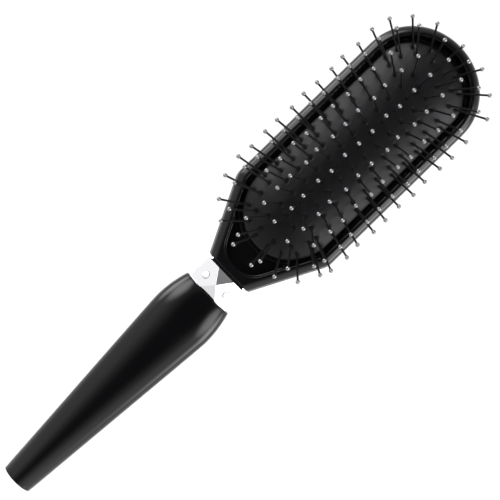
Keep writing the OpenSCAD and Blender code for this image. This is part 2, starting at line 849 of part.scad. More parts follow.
module neck_knuckle(x, l) {
    along_x(x, knuckle_r, l);
    translate([x, hinge_y - knuckle_r, hinge_z])
        cube([l, neck_face_y - hinge_y + knuckle_r, neck_z + back_plate_t - hinge_z]);
}

module back_plate_outline(gap) {
    y = mouth_y + back_plate_rear - gap;
    translate([-back_plate_w - gap, y, neck_z - cut])
        cube([2 * (back_plate_w + gap), neck_face_y - back_plate_front + gap - y, back_plate_t + cut]);
}

module back_plate_screw_places() {
    for (side = [-1, 1])
        translate([side * back_plate_screw_x, back_plate_screw_y, neck_z])
            children();
}

module spigot_screw_places() {
    for (k = [0, 1])
        translate([0, mouth_y - spigot_screw_first - k * spigot_screw_pitch, neck_z])
            children();
}

module spigot_bar(gap, past) {
    translate([-spigot_w - gap, mouth_y - spigot_l - gap, spigot_z - gap])
        cube([2 * (spigot_w + gap), spigot_l + gap + past, spigot_h + 2 * gap]);
}

module neck_block() {
    color("#d8d8dc")
        difference() {
            union() {
                faceted_body();
                spigot_bar(0, 0);
                neck_knuckle(-mid_knuckle, 2 * mid_knuckle);
                both_sides()
                    neck_knuckle(outer_knuckle_x, neck_knuckle_w);
            }
            translate([-cavity_w, mouth_y + cavity_wall, neck_z - cut])
                cube([2 * cavity_w, neck_l - 2 * cavity_wall, cavity_h + cut]);
            back_plate_outline(back_plate_gap);
            back_plate_screw_places()
                cylinder(r = small_screw_r + thread_gap, h = back_plate_screw_l + cut);
            translate([0, clip_screw_y, clip_z - cut])
                cylinder(r = small_screw_r + thread_gap, h = clip_screw_l + 2 * cut);
            along_x(-hinge_half - cut, hinge_pin_r + pin_hold, 2 * (hinge_half + cut));
            both_sides() {
                clip_window();
                on_facet()
                    button_bore();
            }
            spigot_screw_places()
                cylinder(r = spigot_screw_r + thread_gap, h = spigot_screw_l + cut);
        }
}

// The opening in the neck's front wall that a prong passes
module clip_window() {
    translate([prong_in - window_play, neck_face_y - 2 * cavity_wall, window_low_z])
        cube([prong_w + 2 * window_play, 2 * cavity_wall + cut,
            clip_z + barb_h + window_play - window_low_z]);
}

module button_bore() {
    translate([0, 0, -button_wall - cut])
        cylinder(r = button_r + button_run, h = button_wall + 2 * cut);
    translate([0, 0, -button_length - cut])
        cylinder(r = button_r + button_flange + 2 * button_run, h = button_length + cut - button_wall);
}

module release_button() {
    on_facet() {
        translate([0, 0, -button_wall - button_flange_t])
            cylinder(r = button_r, h = button_wall + button_flange_t + button_up);
        translate([0, 0, -button_wall - button_flange_t])
            cylinder(r = button_r + button_flange, h = button_flange_t);
        translate([0, 0, -button_length])
            cylinder(r = button_foot_r, h = button_length - button_wall);
    }
}

module release_button_left() {
    color("#9a9a9e")
        mirror([1, 0, 0])
            release_button();
}

module release_button_right() {
    color("#9a9a9e")
        release_button();
}

module latch_clip() {
    tip = head_y + prong_reach - bridge_y;
    barb = head_y + barb_play - bridge_y;
    color("#8f9398")
        difference() {
            union() {
                translate([-prong_in - prong_w, bridge_y, clip_z - clip_t])
                    cube([2 * (prong_in + prong_w), bridge_l, clip_t]);
                both_sides()
                    translate([prong_in + prong_w, bridge_y, clip_z])
                        rotate([0, -90, 0])
                            linear_extrude(prong_w)
                                polygon([[-clip_t, 0], [-clip_t, tip], [0, tip],
                                    [barb_h, barb + barb_h / 2], [barb_h, barb], [0, barb], [0, 0]]);
            }
            translate([0, clip_screw_y, clip_z - 2 * clip_t])
                cylinder(r = small_screw_r + thread_gap, h = 3 * clip_t);
        }
}

module clip_screw() {
    color("silver")
        translate([0, clip_screw_y, clip_z - clip_t]) {
            translate([0, 0, -clip_screw_head_t])
                cylinder(r = clip_screw_head_r, h = clip_screw_head_t);
            translate([0, 0, -clip_screw_head_t / 2])
                cylinder(r = small_screw_r, h = clip_screw_head_t / 2 + clip_t + clip_screw_l);
        }
}

module neck_back_plate() {
    y = mouth_y + back_plate_rear;
    color("#c9c9cc")
        difference() {
            translate([-back_plate_w, y, neck_z])
                cube([2 * back_plate_w, neck_face_y - back_plate_front - y, back_plate_t]);
            back_plate_screw_places()
                sunk_screw(small_screw_r, small_screw_head_r - sink, back_plate_screw_l, sink);
        }
}

module back_plate_screws() {
    color("silver")
        back_plate_screw_places()
            translate([0, 0, sink])
                sunk_screw(small_screw_r, small_screw_head_r - 2 * sink, back_plate_screw_l);
}

// ---- Handle ----

// Share of the fall from the widest place to the narrow end, at a distance from the mouth
function taper_share(d) =
    let (v = d - belly_at, whole = handle_l - belly_at)
    v * v / (v + belly_bend) * (whole + belly_bend) / (whole * whole);

// Half size of the handle at a distance d from the mouth
function handle_half(d, widest, mouth, end) =
    d < belly_at
        ? widest / 2 - (widest - mouth) / 2 * pow(1 - d / belly_at, belly_fullness)
        : widest / 2 - (widest - end) / 2 * taper_share(d);

function power(c, n) = sign(c) * pow(abs(c), 2 / n);

function handle_ring(d, inset) =
    let (
        w = handle_half(d, handle_w, mouth_w, handle_end_d),
        t = handle_half(d, handle_t, mouth_t, handle_end_d),
        n = 2 + (mouth_square - 2) * (1 - d / handle_l)
    )
    [for (k = [0:handle_sides - 1]) let (a = 360 * k / handle_sides)
        [(w - inset) * power(cos(a), n), mouth_y - d, neck_z + t + (t - inset) * power(sin(a), n)]];

module handle_shell() {
    shell_l = handle_l - cap_t;
    lip = [for (k = [0:lip_steps]) let (a = 90 * k / lip_steps) lip_r * [1 - cos(a), 1 - sin(a)]];
    outside = concat(
        [for (e = lip) handle_ring(e[0], e[1])],
        [for (k = [1:swell_steps]) handle_ring(lip_r + (belly_at - lip_r) * k / swell_steps, 0)],
        [for (k = [1:taper_steps])
            handle_ring(belly_at + (shell_l - belly_at) * pow(k / taper_steps, taper_spread), 0)]
    );
    hollow_l = shell_l - cap_plug_l - spigot_l;
    inside = [for (k = [0:hollow_steps])
        handle_ring(spigot_l + hollow_l * k / hollow_steps, handle_wall)];
    color("#0b0b0d")
        difference() {
            ring_loft(outside);
            ring_loft(inside);
            spigot_bar(spigot_gap, cut);
            translate([0, mouth_y - shell_l - cut, cap_z])
                rotate([-90, 0, 0])
                    cylinder(r = cap_plug_r + cap_gap, h = cap_plug_l + 2 * cut);
            spigot_screw_places()
                sunk_screw(spigot_screw_r, spigot_screw_head_r, spigot_lift + cut, sink);
            spigot_screw_places()
                translate([0, 0, -cut])
                    cylinder(r = spigot_screw_head_r + sink, h = cut + sink);
        }
}

module spigot_screws() {
    color("silver")
        spigot_screw_places()
            translate([0, 0, 2 * sink])
                sunk_screw(spigot_screw_r, spigot_screw_head_r - sink, spigot_screw_l);
}

module handle_end_cap() {
    color("#0b0b0d")
        translate([0, handle_end_y, cap_z])
            rotate([-90, 0, 0]) {
                cylinder(r = handle_end_d / 2, h = cap_t);
                cylinder(r = cap_plug_r, h = cap_t + cap_plug_l);
            }
}

head_frame();
back_cover();
cover_screws();
mirror_glass();
mirror_tape();
cushion_pad();
pad_bezel();
pin_shafts();
ball_tips();
head_hinge_plate();
hinge_plate_screws();
neck_block();
hinge_pin();
hinge_washers();
latch_clip();
clip_screw();
release_button_left();
release_button_right();
neck_back_plate();
back_plate_screws();
handle_shell();
spigot_screws();
handle_end_cap();
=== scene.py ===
# %% [markdown]
# # A folding cushion hairbrush with a mirror on its back
# The brush is two glossy black mouldings with a faceted chrome neck between them. The long one
# holds a rubber cushion full of ball-tipped pins, and a mirror behind it; the other is the
# handle, which folds over the mirror. This lesson dresses the engineering solids piece by
# piece. Sizes are written in millimetres, the way a maker would, and become metres where a
# mesh is made.

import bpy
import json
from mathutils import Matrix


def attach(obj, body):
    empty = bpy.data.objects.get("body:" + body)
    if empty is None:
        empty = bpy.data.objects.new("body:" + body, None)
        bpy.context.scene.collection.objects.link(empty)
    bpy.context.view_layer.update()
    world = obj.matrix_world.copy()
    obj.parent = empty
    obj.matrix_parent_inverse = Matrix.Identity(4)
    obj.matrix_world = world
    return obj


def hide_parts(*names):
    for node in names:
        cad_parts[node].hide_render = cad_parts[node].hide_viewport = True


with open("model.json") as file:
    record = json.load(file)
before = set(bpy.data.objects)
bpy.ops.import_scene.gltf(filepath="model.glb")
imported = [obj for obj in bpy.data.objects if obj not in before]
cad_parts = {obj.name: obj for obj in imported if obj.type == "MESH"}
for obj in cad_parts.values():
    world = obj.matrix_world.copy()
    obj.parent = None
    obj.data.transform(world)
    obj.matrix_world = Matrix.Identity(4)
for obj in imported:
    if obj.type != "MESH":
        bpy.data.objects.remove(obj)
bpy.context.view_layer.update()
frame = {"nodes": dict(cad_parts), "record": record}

# %% Tools and units
import json
import math
import bpy
import bmesh
from mathutils import Matrix, Vector
from mathutils.kdtree import KDTree

MM = 0.001
weld_made, weld_pins, weld_cast = 1e-7, 1e-6, 2e-6
scene = bpy.context.scene


def put(name, data):
    """A new object in the scene."""
    made = bpy.data.objects.new(name, data)
    scene.collection.objects.link(made)
    return made


def plug(links, socket, value):
    """Links a socket to another one, or sets its constant."""
    if isinstance(value, bpy.types.NodeSocket):
        links.new(value, socket)
    else:
        socket.default_value = value


# %% [markdown]
# ## The camera
# The brush is seen straight from above, turned so that it lies along a diagonal. A lens of
# 93 mm at half a metre keeps its ends almost undistorted, as in a catalogue picture. Only
# position, turn and lens are needed, so there is no shift to undo in other views.

# %% Camera
eye = bpy.data.cameras.new("eye")
eye.lens, eye.sensor_width = 92.8, 36
camera = put("eye", eye)
camera.location = (-0.0005, 0.0065, 0.508)
camera.rotation_euler = (0, 0, math.radians(45.7))
scene.camera = camera
print("camera at", tuple(camera.location), "lens", eye.lens)

# %% [markdown]
# ## The light
# Gloss black and chrome show nothing but their surroundings, so the light here is mostly a
# shape: a bright room all round, with a dark oval overhead where the camera and its stand
# would be. The oval is longer along the brush than across it, and it leans a little
# towards the head, which gives the neck's upper facet its grey. A sky whose level depends on
# the distance from the oval's middle does that, and a little more light from the right keeps
# the two sides of the handle from looking the same. Four soft glows, low beside the head and
# higher beside the handle's shoulders, put the gleams on the rim and the shoulders. They are
# part of the sky, because a lamp's reflection would have hard edges.

# %% A room that is bright at the sides and dark overhead
room = bpy.data.worlds.new("room")
room.use_nodes = True
scene.world = room
sky_nodes, sky_links = room.node_tree.nodes, room.node_tree.links
direction = sky_nodes.new("ShaderNodeTexCoord").outputs["Generated"]


def sky_node(kind, operation, *values, out=0):
    """A sky node with its operation, and with values or links on its first sockets."""
    node = sky_nodes.new(kind)
    if operation:
        node.operation = operation
    for socket, value in zip(node.inputs, values):
        plug(sky_links, socket, value)
    return node.outputs[out]


oval_share, oval_middle = 0.577, (0.077, 0.165)
centred = sky_node("ShaderNodeVectorMath", "MULTIPLY_ADD", direction, (1, oval_share, 0),
    (-oval_middle[0], -oval_middle[1] * oval_share, 0))
falloff = sky_nodes.new("ShaderNodeValToRGB")
sky_links.new(sky_node("ShaderNodeVectorMath", "LENGTH", centred, out="Value"), falloff.inputs[0])
ramp = falloff.color_ramp
stops = [(0.0, 0.006), (0.17, 0.006), (0.235, 0.015), (0.287, 0.10), (0.375, 0.27), (0.43, 0.36),
    (0.5, 0.50), (0.6, 0.72), (0.643, 0.79), (0.707, 0.88), (0.85, 1.0)]
while len(ramp.elements) < len(stops):
    ramp.elements.new(0.5)
for element, (place, level) in zip(ramp.elements, stops):
    element.position, element.color = place, (level, level, level, 1)
window_share, room_strength, sky_tone = 0.2, 1.2, (1, 1, 1.01, 1)
across = sky_node("ShaderNodeSeparateXYZ", None, direction, out="X")
window = sky_node("ShaderNodeMath", "MULTIPLY_ADD", across, window_share * room_strength,
    room_strength)
sky_level = sky_node("ShaderNodeMath", "MULTIPLY", falloff.outputs[0], window)
print("sky levels away from the oval's middle:", stops)

# %% Four soft glows
def way_to(side, turn, rise):
    """A direction from a turn ahead of the brush's side and a rise, in degrees."""
    turn, rise = math.radians(turn), math.radians(rise)
    return Vector((side * math.cos(turn) * math.cos(rise), math.sin(turn) * math.cos(rise),
        math.sin(rise)))


glows = ((-1, 12, 8, 2, 23, 6.2), (1, 5, 8, 2, 23, 5.6),
    (-1, 24, 42, 2, 23, 5.2), (1, 18, 43, 2, 23, 4.5))
for side, turn, rise, core, reach, level in glows:
    nearness = sky_node("ShaderNodeVectorMath", "DOT_PRODUCT", direction,
        way_to(side, turn, rise), out="Value")
    glow = sky_nodes.new("ShaderNodeMapRange")
    glow.interpolation_type = "SMOOTHSTEP"
    sky_links.new(nearness, glow.inputs["Value"])
    glow.inputs["From Min"].default_value = math.cos(math.radians(reach))
    glow.inputs["From Max"].default_value = math.cos(math.radians(core))
    glow.inputs["To Max"].default_value = level
    sky_level = sky_node("ShaderNodeMath", "ADD", sky_level, glow.outputs[0])
sky_nodes["Background"].inputs["Color"].default_value = sky_tone
sky_links.new(sky_level, sky_nodes["Background"].inputs["Strength"])
scene.view_settings.view_transform = "Standard"
print(len(glows), "glows beside the brush")

# %% [markdown]
# ## Writing a finish as arithmetic
# A finish is a formula: how dark, how rough and how bumpy the surface is at each point. The
# node editor can hold such a formula, but it is easier to read as Python. One class wraps an
# output socket, and its operators add Math nodes, so `0.1 + 0.05 * cloud` is what it says.
# Every other node comes from one method, which sets the node's own settings first.

# %% A socket that does arithmetic, and a finish that makes nodes
class Value:
    """An output socket that takes part in sums; each operation adds a Math node."""

    def __init__(self, finish, socket):
        self.finish, self.socket = finish, socket

    def _math(self, operation, *terms):
        node = self.finish.node("ShaderNodeMath", {"operation": operation}, *terms)
        return Value(self.finish, node.outputs[0])

    def __add__(self, other): return self._math("ADD", self, other)
    def __radd__(self, other): return self._math("ADD", other, self)
    def __sub__(self, other): return self._math("SUBTRACT", self, other)
    def __rsub__(self, other): return self._math("SUBTRACT", other, self)
    def __mul__(self, other): return self._math("MULTIPLY", self, other)
    def __rmul__(self, other): return self._math("MULTIPLY", other, self)
    def sine(self): return self._math("SINE", self)
    def size(self): return self._math("ABSOLUTE", self)
    def clipped(self): return self._math("MINIMUM", self._math("MAXIMUM", self, 0.0), 1.0)


class Finish:
    """A material whose nodes are added by name, with the Principled shader as .shader."""

    mix_first, mix_second, mix_result = 6, 7, 2

    def __init__(self, name, **constants):
        self.material = bpy.data.materials.new(name)
        self.material.use_nodes = True
        self.tree = self.material.node_tree
        self.shader = self.tree.nodes["Principled BSDF"]
        for socket, value in constants.items():
            self.shader.inputs[socket.replace("_", " ")].default_value = value

    def feed(self, socket, value):
        plug(self.tree.links, socket, value.socket if isinstance(value, Value) else value)

    def node(self, kind, settings=None, *ordered, **named):
        node = self.tree.nodes.new(kind)
        for key, value in (settings or {}).items():
            setattr(node, key, value)
        for socket, value in zip(node.inputs, ordered):
            self.feed(socket, value)
        for key, value in named.items():
            self.feed(node.inputs[key.replace("_", " ")], value)
        return node

    def place(self):
        """The three coordinates of a point of the piece, in millimetres."""
        here = self.node("ShaderNodeTexCoord").outputs["Object"]
        split = self.node("ShaderNodeSeparateXYZ", None, here)
        return [Value(self, out) * (1 / MM) for out in split.outputs]

    def noise(self, scale, detail, stretch=(1, 1, 1)):
        """Clouds with `scale` lumps to the metre, from 0 to 1."""
        here = self.node("ShaderNodeTexCoord").outputs["Object"]
        drawn_out = self.node("ShaderNodeMapping", None, Vector=here, Scale=stretch)
        noise = self.node("ShaderNodeTexNoise", None, Vector=drawn_out.outputs[0], Scale=scale,
            Detail=detail)
        return Value(self, noise.outputs["Fac"])

    def blend(self, share, first, second):
        """A colour between two, by a share from 0 to 1; a Mix node numbers its colours."""
        mix = self.node("ShaderNodeMix", {"data_type": "RGBA"})
        self.feed(mix.inputs["Factor"], share)
        self.feed(mix.inputs[self.mix_first], (*first, 1))
        self.feed(mix.inputs[self.mix_second], (*second, 1))
        return mix.outputs[self.mix_result]

    def bump(self, height, distance, strength):
        """Relief of a height from 0 to 1, with its full height in millimetres."""
        bump = self.node("ShaderNodeBump", None, Strength=strength, Distance=distance * MM)
        self.feed(bump.inputs["Height"], height)
        self.feed(self.shader.inputs["Normal"], bump.outputs[0])

    def paint(self, **inputs):
        """Feeds inputs of the shader by name and hands back the material."""
        for socket, value in inputs.items():
            self.feed(self.shader.inputs[socket.replace("_", " ")], value)
        return self.material


finishes = {}
print("finish tools ready")

# %% [markdown]
# ## Gloss black plastic
# The two head mouldings and the handle are polished ABS: almost black, with a hard gloss.
# Real mouldings are never optically flat. They carry a very shallow ripple, faint wipe marks
# that dull the gloss in soft patches, and a little dust. A single dark colour would look
# like a hole in the picture, so ripple, patches and dust are what make it read as plastic.
# The handle is the same plastic with a softer gloss, from years of hands.

# %% Gloss black plastic
wipe_stretch, dust_above, dust_edge, dust_tone = (1, 0.18, 1), 0.76, 9.0, (0.35, 0.35, 0.34)


def gloss_black(name, tone, gloss):
    finish = Finish(name, IOR=1.4)
    clouds = finish.noise(60, 3)
    wipes = finish.noise(260, 4, wipe_stretch)
    dust = ((finish.noise(5200, 1) - dust_above) * dust_edge).clipped()
    finish.bump(finish.noise(230, 2), 0.012, 0.35)
    return finish.paint(
        Base_Color=finish.blend(dust * 0.10, tone, dust_tone),
        Roughness=gloss + 0.05 * clouds + 0.06 * wipes * wipes + 0.2 * dust)


finishes["black_plastic"] = gloss_black("gloss_black_moulding", (0.004, 0.004, 0.0045), 0.05)
finishes["grip_plastic"] = gloss_black("soft_gloss_grip", (0.0027, 0.0027, 0.0031), 0.10)
print("made", finishes["black_plastic"].name, "and", finishes["grip_plastic"].name)

# %% [markdown]
# ## Rubber with a woven face
# The cushion is a thin rubber sheet, moulded against cloth, so its face has a square weave
# of under a millimetre. Two crossed waves give the threads; where they cross, the
# surface stands highest, and its colour is painted lighter there, a painted highlight on
# the raised weave. What stands out is also polished by the mould, so a clear coat
# covers the crossings and not the gaps. That way the weave shows where the rubber mirrors
# something bright, and hardly at all in the middle.

# %% Rubber
thread_pitch, thread_height = 0.8, 0.07
rubber_low, rubber_bloom_and_highlight = (0.001, 0.001, 0.0012), (0.004, 0.0042, 0.005)


def rubber_weave():
    finish = Finish("rubber_weave", IOR=1.28, Coat_Roughness=0.2, Coat_IOR=1.5)
    x, y, _ = finish.place()
    ripple = finish.noise(900, 2) * 0.6
    half_wave = math.pi / thread_pitch
    threads = (x * half_wave + ripple).sine().size() * (y * half_wave + ripple).sine().size()
    bloom = finish.noise(45, 4)
    finish.bump(threads, thread_height, 1.0)
    # The colour is painted lighter where the threads cross, a painted highlight on the raised
    # weave; the bloom clouds add the rubber's own uneven tone.
    return finish.paint(
        Base_Color=finish.blend(threads * 0.7 + bloom * 0.3, rubber_low, rubber_bloom_and_highlight),
        Roughness=0.26 - 0.05 * threads + 0.05 * bloom, Coat_Weight=0.8 * threads * threads)


finishes["rubber"] = rubber_weave()
print("weave of", thread_pitch, "mm")

# %% [markdown]
# ## Bright and satin metals
# The neck and the hinge plate are plated: a mirror that is slightly soft, with a hint of
# cloud from handling. The balls are only dipped, so they are greyer and duller. The hinge
# pin, the latch and the screws are plain steel, drawn or turned, so they carry fine lines
# in one direction. The release buttons are satin nickel. All come from one recipe, because
# they differ only in tone, in how rough and in how lined they are.

# %% Metals
line_stretch, line_scale, cloud_shade = (0.05, 1, 1), 9000, 0.82


def metal(name, tone, rough, lines=0.0):
    finish = Finish(name, Metallic=1.0)
    clouds = finish.noise(160, 3)
    grain = finish.noise(line_scale, 2, line_stretch)
    finish.bump(grain * lines + finish.noise(350, 2) * (1 - lines), 0.004, 0.3 + lines)
    darker = tuple(cloud_shade * c for c in tone)
    return finish.paint(
        Base_Color=finish.blend(clouds * 0.5 + grain * lines * 0.5, tone, darker),
        Roughness=rough + 0.05 * clouds + 0.15 * lines * grain)


finishes["chrome"] = metal("bright_plate", (0.93, 0.93, 0.94), 0.05)
finishes["ball_plate"] = metal("dipped_nickel", (0.30, 0.30, 0.31), 0.25)
finishes["steel"] = metal("satin_steel", (0.62, 0.62, 0.64), 0.26, 0.7)
finishes["button_metal"] = metal("satin_nickel", (0.6, 0.6, 0.61), 0.42, 0.3)
print("metals:", [finishes[k].name for k in ("chrome", "ball_plate", "steel", "button_metal")])

# %% [markdown]
# ## Lacquer, nylon, tape and silvered glass
# The pins are steel wire dipped in black lacquer. The hinge washers are natural nylon, milky
# and dull, and the mirror is held by white foam tape, which has small open pores. The mirror
# itself is almost a perfect reflector; a trace of haze keeps it from looking computed.

# %% The remaining finishes
def plain(name, first, second, rough, scale, relief, ior=1.5):
    finish = Finish(name, IOR=ior)
    grain = finish.noise(scale, 3)
    finish.bump(grain, relief, 0.6)
    return finish.paint(Base_Color=finish.blend(grain, first, second),
        Roughness=rough + 0.12 * grain)


def silvered_glass():
    finish = Finish("silvered_glass", Metallic=1.0, Coat_Roughness=0.0)
    haze = finish.noise(38, 4)
    return finish.paint(Base_Color=finish.blend(haze, (0.90, 0.92, 0.93), (0.86, 0.89, 0.90)),
        Roughness=0.004 + 0.02 * haze * haze, Coat_Weight=0.5)


finishes["pin_lacquer"] = plain("black_lacquer", (0.004, 0.004, 0.004), (0.009, 0.009, 0.010),
    0.35, 1500, 0.01, 1.3)
finishes["nylon"] = plain("natural_nylon", (0.82, 0.80, 0.76), (0.74, 0.72, 0.67),
    0.42, 900, 0.02)
finishes["tape"] = plain("foam_tape", (0.86, 0.86, 0.84), (0.70, 0.70, 0.68), 0.70, 2600, 0.06)
finishes["mirror"] = silvered_glass()
print("finishes:", ", ".join(sorted(finishes)))

# %% [markdown]
# ## Outlines and lofts
# Nearly every piece here is a stack of outlines: the head is one outline that shrinks as it
# rounds over its rim, and the handle is a ring that grows and tapers. Skinning such a stack
# with quads is a loft. Every outline of a stack has the same number of points, so the quads
# never twist. The flat ends are closed by joining left to right, which keeps the faces in
# tidy rows instead of one huge polygon.

# %% Arcs, halves and the head's outline
head_low_y, head_far_y = -5.5, 119.2
head_half, head_low_half, head_taper = 25.45, 10.65, 29.3
head_end, shoulder = 23.5, 9.0
corner_steps, end_steps = 10, 36
taper_turn = math.atan((head_half - head_low_half) / head_taper)
head_centre_y = head_far_y - head_end


def arc(centre, radius, start, end, steps):
    turns = [start + (end - start) * k / steps for k in range(steps + 1)]
    return [(centre[0] + radius * math.cos(a), centre[1] + radius * math.sin(a)) for a in turns]


def whole(half, far):
    """A right half, the far point on the middle line, and the left half."""
    return half + [(0.0, far)] + [(-x, y) for x, y in reversed(half)]


def head_outline(inset, corner, low_inset):
    """The head's outline moved inwards, with its own inset at the narrow end."""
    wide, low = head_half - inset, head_low_y + low_inset
    shift = inset / math.cos(taper_turn)
    x_low = head_low_half + low_inset * math.tan(taper_turn) - shift
    y_shoulder = head_low_y + (wide - head_low_half + shift) / math.tan(taper_turn)
    turn = shoulder - inset
    half = arc((x_low - corner * math.tan((math.pi / 2 - taper_turn) / 2), low + corner), corner,
        -math.pi / 2, -taper_turn, corner_steps)
    half += arc((wide - turn, y_shoulder + turn * math.tan(taper_turn / 2)), turn,
        -taper_turn, 0, corner_steps)
    half += [(wide * math.cos(a), head_centre_y + (head_end - inset) * math.sin(a))
        for a in (math.pi / 2 * k / end_steps for k in range(end_steps))]
    return whole(half, head_far_y - inset)


print("points in an outline:", len(head_outline(0, 1, 0)))

# %% Lofts and pieces
def skin(rings, closed=False):
    """The quads between neighbouring rings, and from the last to the first if closed."""
    n, count = len(rings[0]), len(rings)
    pairs = [(k * n, (k + 1) % count * n) for k in range(count if closed else count - 1)]
    return [(here + i, here + (i + 1) % n, there + (i + 1) % n, there + i)
        for here, there in pairs for i in range(n)]


def loft(rings, across=True):
    """Skins a stack of rings; the ends are closed in rows, or by a fan from the middle."""
    n, points, faces = len(rings[0]), [p for ring in rings for p in ring], skin(rings)
    for k in (0, len(rings) - 1):
        base, h = k * n, n // 2
        if across:
            faces += [(base + i, base + i + 1, base + n - 2 - i, base + n - 1 - i)
                for i in range(h - 1)]
            faces.append((base + h - 1, base + h, base + h + 1))
        else:
            faces += [(base + i, base + (i + 1) % n, len(points)) for i in range(n)]
            points.append(tuple(sum(p[a] for p in rings[k]) / n for a in range(3)))
    return points, faces


def mesh_of(name, shape):
    mesh = bpy.data.meshes.new(name)
    mesh.from_pydata([Vector(p) * MM for p in shape[0]], [], shape[1])
    return mesh


def piece(name, shape, body, slot, **settings):
    """A finished object from points in mm and faces, closed, outward and on its body."""
    return dressed(name, mesh_of(name, shape), body, slot, **settings)


def dressed(name, mesh, body, slot, sharp=32, stands_for=(), outward=True, finish=None):
    """An object from a mesh, smooth but for its sharp edges, finished and on its body."""
    if outward:
        work = bmesh.new()
        work.from_mesh(mesh)
        bmesh.ops.remove_doubles(work, verts=work.verts, dist=weld_made)
        bmesh.ops.recalc_face_normals(work, faces=work.faces)
        work.to_mesh(mesh)
        work.free()
    mesh.shade_smooth()
    mesh.set_sharp_from_angle(angle=math.radians(sharp))
    mesh.materials.clear()
    mesh.materials.append(finishes[finish or slot])
    made = put(name, mesh)
    flats = made.modifiers.new("flats", "WEIGHTED_NORMAL")
    flats.keep_sharp, flats.weight = True, 90
    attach(made, body)
    if stands_for:
        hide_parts(*stands_for)
    print(f"{name}: {len(mesh.polygons)} faces on {body}")
    return made


def baked(source):
    """The mesh that an object's modifiers make; the object itself is removed."""
    bpy.context.view_layer.update()
    result = bpy.data.meshes.new_from_object(
        source.evaluated_get(bpy.context.evaluated_depsgraph_get()))
    source.modifiers.clear()
    bpy.data.objects.remove(source)
    return result


def cut_away(mesh, cutters):
    """The mesh with closed shapes cut out of it."""
    work, tools = put("work", mesh), [put("tool", mesh_of("tool", shape)) for shape in cutters]
    for tool in tools:
        cut = work.modifiers.new("cut", "BOOLEAN")
        cut.operation, cut.solver, cut.object = "DIFFERENCE", "EXACT", tool
    result = baked(work)
    for tool in tools:
        bpy.data.objects.remove(tool)
    return result


def block(low, high):
    """A closed box between two corners, for cutting."""
    (x0, y0, z0), (x1, y1, z1) = low, high
    base = [(x0, y0), (x1, y0), (x1, y1), (x0, y1)]
    points = [(x, y, z) for z in (z0, z1) for x, y in base]
    sides = [(k, (k + 1) % 4, (k + 1) % 4 + 4, k + 4) for k in range(4)]
    return points, [(3, 2, 1, 0), (4, 5, 6, 7), *sides]


overshoot = 1
print("loft tools ready; cutters start", overshoot, "mm outside a piece")

# %% [markdown]
# ## The head's front moulding
# It is a tray: nearly upright sides that roll over in a wide arc into the rim, and a deep
# recess for the cushion. It stands a very small step inside the back moulding, as moulded
# halves often do. Seen from above, the roll makes the grey band round the brush, because its
# outer part mirrors the room at a low angle, and it fades into black towards the top. The
# recess has a fillet at both edges, which catches a thread of light. Two pockets in the
# narrow end take the prongs of the latch.

# %% Front moulding
head_top, part_z, recess_z, part_step, draft = 17.0, 6.0, 11.5, 0.2, 0.4
rim, rim_low, rim_roll, low_share, low_corner, inner_corner = 4.55, 2.9, 3.4, 0.1, 0.7, 4.5
lip_fillet, floor_fillet, ease, recess_flat = 0.35, 0.6, 0.12, 0.8
wall_rows, wall_parts, roll_steps, fillet_steps, ease_steps = 5, 8, 16, 6, 3
recess_corner = (head_low_half + rim_low * math.tan(taper_turn) - rim / math.cos(taper_turn)
    - recess_flat) / math.tan((math.pi / 2 - taper_turn) / 2)


def level(inset, z, corner=low_corner, low_inset=None):
    """A ring of the head at one height."""
    low_inset = inset * low_share if low_inset is None else low_inset
    return [(x, y, z) for x, y in head_outline(inset, corner, low_inset)]


def quarter(steps, turn=math.pi / 2):
    """Pairs of sine and cosine along a quarter turn, or along part of it."""
    return [(math.sin(a), math.cos(a)) for a in (turn * k / steps for k in range(steps + 1))]


def wall_level(inset, z):
    """A ring of the front moulding's side, which stands a step inside the back's."""
    return level(part_step + inset, z, low_inset=inset * low_share)


lean = math.atan((head_top - part_z) / draft)
roll_inset = draft + rim_roll * math.tan(lean / 2)
front = [wall_level(0, part_z)]
front += [wall_level(draft * k / wall_parts, part_z + (head_top - part_z) * k / wall_parts)
    for k in range(1, wall_rows + 1)]
front += [wall_level(roll_inset - rim_roll * s, head_top - rim_roll * (1 - c))
    for s, c in reversed(quarter(roll_steps, lean))]
front += [level(rim - lip_fillet * (1 - s), head_top - lip_fillet * (1 - c), recess_corner,
    rim_low - lip_fillet * (1 - s)) for s, c in quarter(fillet_steps)]
front += [level(rim + floor_fillet * (1 - c), recess_z + floor_fillet * (1 - s), recess_corner,
    rim_low + floor_fillet * (1 - c)) for s, c in quarter(fillet_steps)]
print("front moulding rings:", len(front), "lean", round(90 - math.degrees(lean), 1), "degrees")

# %% Latch pockets
pocket_in, pocket_out, pocket_low, pocket_high, pocket_deep = 1.4, 5.0, 10.1, 12.8, 2.5
pockets = [block((left, head_low_y - overshoot, pocket_low),
    (right, head_low_y + pocket_deep, pocket_high))
    for left, right in ((-pocket_out, -pocket_in), (pocket_in, pocket_out))]
dressed("head_tray", cut_away(mesh_of("tray", loft(front)), pockets), "head", "black_plastic",
    stands_for=["head_frame"])

# %% [markdown]
# ## The head's back moulding and the mirror
# The back rolls in much like the front and has a shallow pocket for the glass. Its narrow
# end is cut away in a slot for the hinge knuckles, and a boolean cut makes that slot
# exactly where the knuckles turn. The glass is its own piece with a polished bevel, sunk a
# little behind the rim so that it never touches the table.

